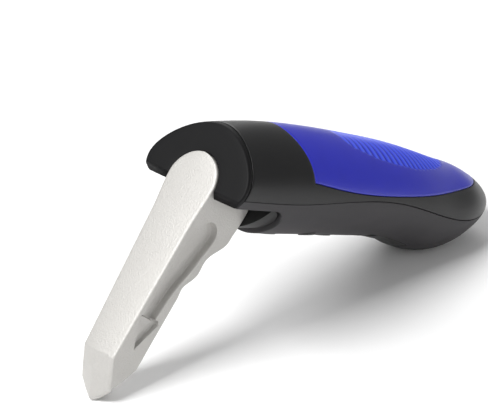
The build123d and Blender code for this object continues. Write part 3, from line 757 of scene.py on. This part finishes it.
def rib_wave(along, across, pitch):
    """How deep in a groove a place is, 0 to 1, and how far inside the ribbed outline. A cosine runs along the
    pad, bowed forwards at the sides of its front half, and fades at the outline."""
    across = np.abs(across)
    edge = smooth_step((np.interp(along, RIB_OUTLINE[:, 0], RIB_OUTLINE[:, 1]) - across) / RIB_FADE)
    bow = np.clip((RIB_BOW_END - along) / RIB_BOW_LENGTH, 0, 1) * RIB_BOW
    wave = 0.5 - 0.5 * np.cos(2 * math.pi * (along + bow * across**2) / pitch)
    return edge * wave, edge


def build_pad(settings):
    """Grip pad: a patch from its bowed front edge to its rounded rear end, with the ribs cut into it."""
    front, low = pad_lines(SEAM)
    rear_travel = unflat(low[-1])[0]
    high = meridian(unflat(front[-1])[0], rear_travel, 1)
    rear = np.repeat(high[-1:], 2, axis=0) + np.array([[0, 0], [0, 1e-9]])
    low[-1] = high[-1]
    radius = settings.pad_edge / MM
    s = edge_shares(PAD_GRID[0], PAD_SIZE[0], radius, True, False)
    t = edge_shares(PAD_GRID[1], PAD_SIZE[1], radius, True, False)
    grid = coons(front, rear, low, high, s, t)
    pitch, depth = settings.rib_pitch / MM, settings.rib_depth / MM

    def ribs(point):
        """Depth of the grooves at a point."""
        return depth * rib_wave(point[..., 0], point[..., 1], pitch)[0]

    piece = finish_skin("grip_pad_body", grid, ("front", "low"), radius, ribs, pad_rubber(settings),
                        ["grip_pad"])
    # Painted highlight: each point stores how far it sits on a rib's crest, and the pad's finish paints those
    # places a lighter blue.
    places = np.empty(3 * len(piece.data.vertices))
    piece.data.vertices.foreach_get("co", places)
    wave, edge = rib_wave(*from_row(places.reshape(-1, 3)), pitch)
    crest = piece.data.attributes.new("crest", "FLOAT", "POINT")
    crest.data.foreach_set("value", (edge - wave).astype(np.float32))
    return piece


# ---- finishes ----------------------------------------------------------------------------------------
PLAIN_SPECULAR = 0.5
FINE_DETAIL = 4
COARSE_DETAIL = 3
COARSER = 25                    # coarse noise's patches to fine noise's


def new_material(name, colour, metallic, roughness):
    """A principled material, its uniform values set on the shader's own sockets."""
    material = bpy.data.materials.new(name)
    material.use_nodes = True
    shader = material.node_tree.nodes["Principled BSDF"]
    shader.inputs["Base Color"].default_value = (*colour, 1)
    shader.inputs["Metallic"].default_value = metallic
    shader.inputs["Roughness"].default_value = roughness
    return material, shader


def add_noise(nodes, links, places, scale, detail):
    """A noise texture on the piece's own coordinates."""
    noise = nodes.new("ShaderNodeTexNoise")
    noise.inputs["Scale"].default_value = scale
    noise.inputs["Detail"].default_value = detail
    links.new(places.outputs["Object"], noise.inputs["Vector"])
    return noise


def mix_colours(material, factor, first, second):
    """A mix of two colours; the first may be a socket."""
    nodes, links = material.node_tree.nodes, material.node_tree.links
    mix = nodes.new("ShaderNodeMix")
    mix.data_type = "RGBA"
    if isinstance(first, tuple):
        mix.inputs["A"].default_value = (*first, 1)
    else:
        links.new(first, mix.inputs["A"])
    mix.inputs["B"].default_value = (*second, 1)
    links.new(factor, mix.inputs["Factor"])
    return mix.outputs["Result"]


def shaded(colour, share):
    """A colour made lighter or darker by a share of itself."""
    return tuple(min(c * (1 + share), 1) for c in colour)


def add_grain(material, shader, scale, spread, colour, tint, bump, depth, speckle=0.0):
    """Grain: fine noise varies the roughness, lifts the surface and may speckle the colour, and coarse noise
    shifts the colour."""
    nodes, links = material.node_tree.nodes, material.node_tree.links
    places = nodes.new("ShaderNodeTexCoord")
    fine = add_noise(nodes, links, places, scale, FINE_DETAIL)
    coarse = add_noise(nodes, links, places, scale / COARSER, COARSE_DETAIL)
    rough = nodes.new("ShaderNodeMapRange")
    middle = shader.inputs["Roughness"].default_value
    rough.inputs["To Min"].default_value = middle - spread
    rough.inputs["To Max"].default_value = middle + spread
    links.new(fine.outputs["Fac"], rough.inputs["Value"])
    links.new(rough.outputs["Result"], shader.inputs["Roughness"])
    result = mix_colours(material, coarse.outputs["Fac"], shaded(colour, -tint), shaded(colour, tint))
    if speckle:
        result = mix_colours(material, fine.outputs["Fac"], result, shaded(colour, speckle))
    links.new(result, shader.inputs["Base Color"])
    lift = nodes.new("ShaderNodeBump")
    lift.inputs["Strength"].default_value = bump
    lift.inputs["Distance"].default_value = depth
    links.new(fine.outputs["Fac"], lift.inputs["Height"])
    links.new(lift.outputs["Normal"], shader.inputs["Normal"])
    return material


def grained(name, colour, metallic, roughness, specular, grain):
    """A grained material: grain is its scale, roughness spread, tint, bump, depth and speckle."""
    material, shader = new_material(name, tuple(colour), metallic, roughness)
    shader.inputs["Specular IOR Level"].default_value = specular
    scale, spread, tint, bump, depth, speckle = grain
    return add_grain(material, shader, scale, spread, tuple(colour), tint, bump, depth, speckle), shader


def bar_metal(settings):
    """Bead-blasted metal, satin."""
    grain = (1900, 0.12, 0.05, 0.6, 0.00025, 0.22)
    return grained("bead_blasted_metal", settings.bar_colour, 0.35, 0.5, PLAIN_SPECULAR, grain)[0]


def collar_plastic(settings):
    """Flat near-black moulded plastic."""
    grain = (3200, 0.08, 0.15, 0.2, 0.00008, 0)
    return grained("collar_plastic", settings.collar_colour, 0.0, 0.55, 0.15, grain)[0]


def upper_plastic(settings):
    """Satin black moulded plastic."""
    grain = (3600, 0.06, 0.12, 0.15, 0.00006, 0)
    return grained("upper_plastic", settings.upper_colour, 0.0, 0.36, 0.35, grain)[0]


def lower_rubber(settings):
    """Dark grey soft-touch skin."""
    grain = (3400, 0.08, 0.12, 0.25, 0.00009, 0)
    return grained("lower_soft_skin", settings.lower_colour, 0.0, 0.62, 0.35, grain)[0]


def pad_rubber(settings):
    """Royal blue soft pad, satin, with painted highlights: its rib crests are mixed towards a lighter blue.
    """
    grain = (3000, 0.06, 0.08, 0.2, 0.00008, 0)
    material, shader = grained("pad_rubber", settings.pad_colour, 0.0, 0.34, 0.6, grain)
    # Painted highlight: the stored crest share lightens the blue where light would catch the ribs.
    crest = material.node_tree.nodes.new("ShaderNodeAttribute")
    crest.attribute_name = "crest"
    base = shader.inputs["Base Color"]
    plain = base.links[0].from_socket
    highlighted_base = mix_colours(material, crest.outputs["Fac"], plain, tuple(settings.rib_highlight_colour))
    material.node_tree.links.new(highlighted_base, base)
    return material


def plain_finishes():
    """Finishes of the frame's own nodes."""
    # material, colour, metallic, roughness, grain's scale
    rows = {
        "throat_insert": ("throat_plastic", (0.008, 0.008, 0.0085), 0.0, 0.6, 3200),
        "cutter_insert": ("cutter_plastic", (0.012, 0.012, 0.0125), 0.0, 0.5, 3200),
        "screw_plugs": ("screw_plug_rubber", (0.02, 0.02, 0.02), 0.0, 0.7, 2800),
        "bolt_plugs": ("bolt_plug_rubber", (0.02, 0.02, 0.02), 0.0, 0.7, 2800),
        "belt_blade": ("blade_steel", (0.6, 0.6, 0.61), 1.0, 0.25, 5200),
        "blade_pins": ("pin_steel", (0.5, 0.5, 0.5), 1.0, 0.35, 4200),
        "tang_bolts": ("bolt_steel", (0.5, 0.5, 0.5), 1.0, 0.35, 4200),
        "tang_washers": ("washer_steel", (0.55, 0.55, 0.54), 1.0, 0.4, 4200),
        "tang_nuts": ("nut_steel", (0.52, 0.52, 0.5), 1.0, 0.38, 4200),
        "shell_screws": ("screw_steel", (0.5, 0.5, 0.5), 1.0, 0.35, 4200),
    }
    for node, (name, colour, metallic, roughness, scale) in rows.items():
        grain = (scale, 0.06, 0.1, 0.2, 0.00006, 0)
        material = grained(name, colour, metallic, roughness, PLAIN_SPECULAR, grain)[0]
        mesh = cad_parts[node].data
        mesh.materials.clear()
        mesh.materials.append(material)


# ---- stage, in metres --------------------------------------------------------------------------------
FLOOR_HALF = 6.0
LIGHT_TARGET = Vector((0, 0, 0.04))
CAMERA_PLACE = (-0.41995, -0.4068, 0.3239)
CAMERA_LENS = 151.3
SENSOR_WIDTH = 36.0
VIEW_AZIMUTH = math.radians(46.14)
VIEW_FALL = math.radians(25.43)
VIEW_LEFT = 0.0295              # the view is turned this far left and down, to frame the handle
VIEW_DOWN = 0.0146


def build_stage(settings):
    """Pale floor, a broad key light above the bar, a fill, a light behind, and an even surround."""
    scene = bpy.context.scene
    corners = [(-FLOOR_HALF, -FLOOR_HALF, 0), (FLOOR_HALF, -FLOOR_HALF, 0), (FLOOR_HALF, FLOOR_HALF, 0),
               (-FLOOR_HALF, FLOOR_HALF, 0)]
    mesh = bpy.data.meshes.new("floor")
    mesh.from_pydata(corners, [], [(0, 1, 2, 3)])
    floor = bpy.data.objects.new("floor", mesh)
    scene.collection.objects.link(floor)
    material, shader = new_material("floor_white", (0.93, 0.93, 0.93), 0.0, 0.8)
    shader.inputs["Specular IOR Level"].default_value = 0.1
    mesh.materials.append(material)
    world = bpy.data.worlds.new("surround")
    world.use_nodes = True
    world.node_tree.nodes["Background"].inputs["Color"].default_value = (1, 1, 1, 1)
    world.node_tree.nodes["Background"].inputs["Strength"].default_value = settings.surround
    scene.world = world
    add_light("key", (-0.75, 0.15, 1.0), 0.6, settings.key_power)
    add_light("fill", (-0.3, -1.1, 0.6), 0.9, settings.fill_power)
    add_light("back", (0.75, 0.95, 0.75), 0.7, settings.back_power)
    scene.view_settings.view_transform = "Standard"
    camera_data = bpy.data.cameras.new("camera")
    camera = bpy.data.objects.new("camera", camera_data)
    scene.collection.objects.link(camera)
    camera_data.sensor_width = SENSOR_WIDTH
    camera_data.lens = CAMERA_LENS
    camera.location = CAMERA_PLACE
    camera.rotation_mode = "QUATERNION"
    camera.rotation_quaternion = view_direction().to_track_quat("-Z", "Y")
    scene.camera = camera


def view_direction():
    """The camera's way of looking: an azimuth and a fall, then a small turn."""
    level = math.cos(VIEW_FALL)
    ahead = Vector((math.sin(VIEW_AZIMUTH) * level, math.cos(VIEW_AZIMUTH) * level, -math.sin(VIEW_FALL)))
    right = Vector((math.cos(VIEW_AZIMUTH), -math.sin(VIEW_AZIMUTH), 0))
    up = right.cross(ahead)
    return ahead - VIEW_LEFT * right - VIEW_DOWN * up


def add_light(name, place, size, power):
    """A square area light that looks at the handle's middle."""
    data = bpy.data.lights.new(name, "AREA")
    data.size = size
    data.energy = power
    light = bpy.data.objects.new(name, data)
    light.location = place
    light.rotation_mode = "QUATERNION"
    light.rotation_quaternion = (LIGHT_TARGET - Vector(place)).to_track_quat("-Z", "Y")
    bpy.context.scene.collection.objects.link(light)


# ---- the add-on --------------------------------------------------------------------------------------
class HandleSettings(bpy.types.PropertyGroup):
    """Sizes and colours that a user would change."""

    bar_edge: FloatProperty(name="Bar edge", description="Rounding of the bar's front edges", default=0.0005,
                            unit="LENGTH")
    bar_crown: FloatProperty(name="Bar crown", description="How far the bar's front bulges", default=0.0003,
                             unit="LENGTH")
    pocket_wall: FloatProperty(name="Pocket wall", description="Width of the pocket's sloping wall",
                               default=0.0004, unit="LENGTH")
    collar_edge: FloatProperty(name="Collar rim", description="Rounding of the collar's rim", default=0.0007,
                               unit="LENGTH")
    shell_edge: FloatProperty(name="Shell edge", description="Rounding of the shells' edges", default=0.0003,
                              unit="LENGTH")
    pad_edge: FloatProperty(name="Pad edge", description="Rounding of the pad's edge", default=0.0006,
                            unit="LENGTH")
    rib_pitch: FloatProperty(name="Rib pitch", description="From one rib of the pad to the next",
                             default=0.0028, unit="LENGTH")
    rib_depth: FloatProperty(name="Rib depth", description="Depth of the grooves between the ribs",
                             default=0.00055, unit="LENGTH")
    bar_colour: FloatVectorProperty(name="Bar colour", description="Colour of the metal", subtype="COLOR",
                                    default=(0.44, 0.43, 0.412))
    collar_colour: FloatVectorProperty(name="Collar colour", description="Colour of the collar",
                                       subtype="COLOR", default=(0.005, 0.005, 0.0055))
    upper_colour: FloatVectorProperty(name="Upper colour", description="Colour of the upper shell",
                                      subtype="COLOR", default=(0.006, 0.006, 0.0065))
    lower_colour: FloatVectorProperty(name="Lower colour", description="Colour of the lower shell",
                                      subtype="COLOR", default=(0.038, 0.036, 0.039))
    pad_colour: FloatVectorProperty(name="Pad colour", description="Colour of the pad", subtype="COLOR",
                                    default=(0.011, 0.015, 0.44))
    # Painted highlight: the lighter blue painted on the rib crests in place of light catching them.
    rib_highlight_colour: FloatVectorProperty(name="Rib colour", description="Colour of the pad's rubbed crests",
                                    subtype="COLOR", default=(0.055, 0.1, 0.72))
    surround: FloatProperty(name="Surround", description="Brightness all round", default=0.32, min=0)
    key_power: FloatProperty(name="Key light", description="Power of the key light", default=17.0, min=0,
                             unit="POWER")
    back_power: FloatProperty(name="Back light", description="Power of the light behind", default=6.0, min=0,
                              unit="POWER")
    fill_power: FloatProperty(name="Fill light", description="Power of the fill light", default=3.0, min=0,
                              unit="POWER")


class HANDLE_OT_bar(bpy.types.Operator):
    """Builds the support bar's surface"""

    bl_idname = "handle.bar"
    bl_label = "Support bar"

    def execute(self, context):
        build_bar(context.scene.support_handle)
        return {"FINISHED"}


class HANDLE_OT_collar(bpy.types.Operator):
    """Builds the front collar's surface"""

    bl_idname = "handle.collar"
    bl_label = "Front collar"

    def execute(self, context):
        build_collar(context.scene.support_handle)
        return {"FINISHED"}


class HANDLE_OT_shells(bpy.types.Operator):
    """Builds the upper and lower shells"""

    bl_idname = "handle.shells"
    bl_label = "Shells"

    def execute(self, context):
        build_upper(context.scene.support_handle)
        build_lower(context.scene.support_handle)
        return {"FINISHED"}


class HANDLE_OT_pad(bpy.types.Operator):
    """Builds the grip pad with its ribs"""

    bl_idname = "handle.pad"
    bl_label = "Grip pad"

    def execute(self, context):
        build_pad(context.scene.support_handle)
        return {"FINISHED"}


class HANDLE_OT_small_parts(bpy.types.Operator):
    """Gives the frame's own nodes their finishes"""

    bl_idname = "handle.small_parts"
    bl_label = "Small parts"

    def execute(self, context):
        plain_finishes()
        return {"FINISHED"}


class HANDLE_OT_stage(bpy.types.Operator):
    """Builds the floor, lights and camera"""

    bl_idname = "handle.stage"
    bl_label = "Stage"

    def execute(self, context):
        build_stage(context.scene.support_handle)
        return {"FINISHED"}


OPERATORS = (HANDLE_OT_bar, HANDLE_OT_collar, HANDLE_OT_shells, HANDLE_OT_pad, HANDLE_OT_small_parts,
             HANDLE_OT_stage)


class HANDLE_PT_panel(bpy.types.Panel):
    """Lists the handle's builders and settings"""

    bl_idname = "HANDLE_PT_panel"
    bl_label = "Support Handle"
    bl_space_type = "VIEW_3D"
    bl_region_type = "UI"
    bl_category = "Support Handle"

    def draw(self, context):
        settings = context.scene.support_handle
        for name in settings.__annotations__:
            self.layout.prop(settings, name)
        for operator in OPERATORS:
            self.layout.operator(operator.bl_idname)


CLASSES = (HandleSettings, *OPERATORS, HANDLE_PT_panel)


def register():
    for cls in CLASSES:
        bpy.utils.register_class(cls)
    bpy.types.Scene.support_handle = PointerProperty(type=HandleSettings)


def unregister():
    del bpy.types.Scene.support_handle
    for cls in reversed(CLASSES):
        bpy.utils.unregister_class(cls)


def main():
    """Builds every piece and the stage."""
    register()
    bpy.ops.handle.stage()
    bpy.ops.handle.bar()
    bpy.ops.handle.collar()
    bpy.ops.handle.shells()
    bpy.ops.handle.pad()
    bpy.ops.handle.small_parts()


if __name__ == "__main__":
    main()
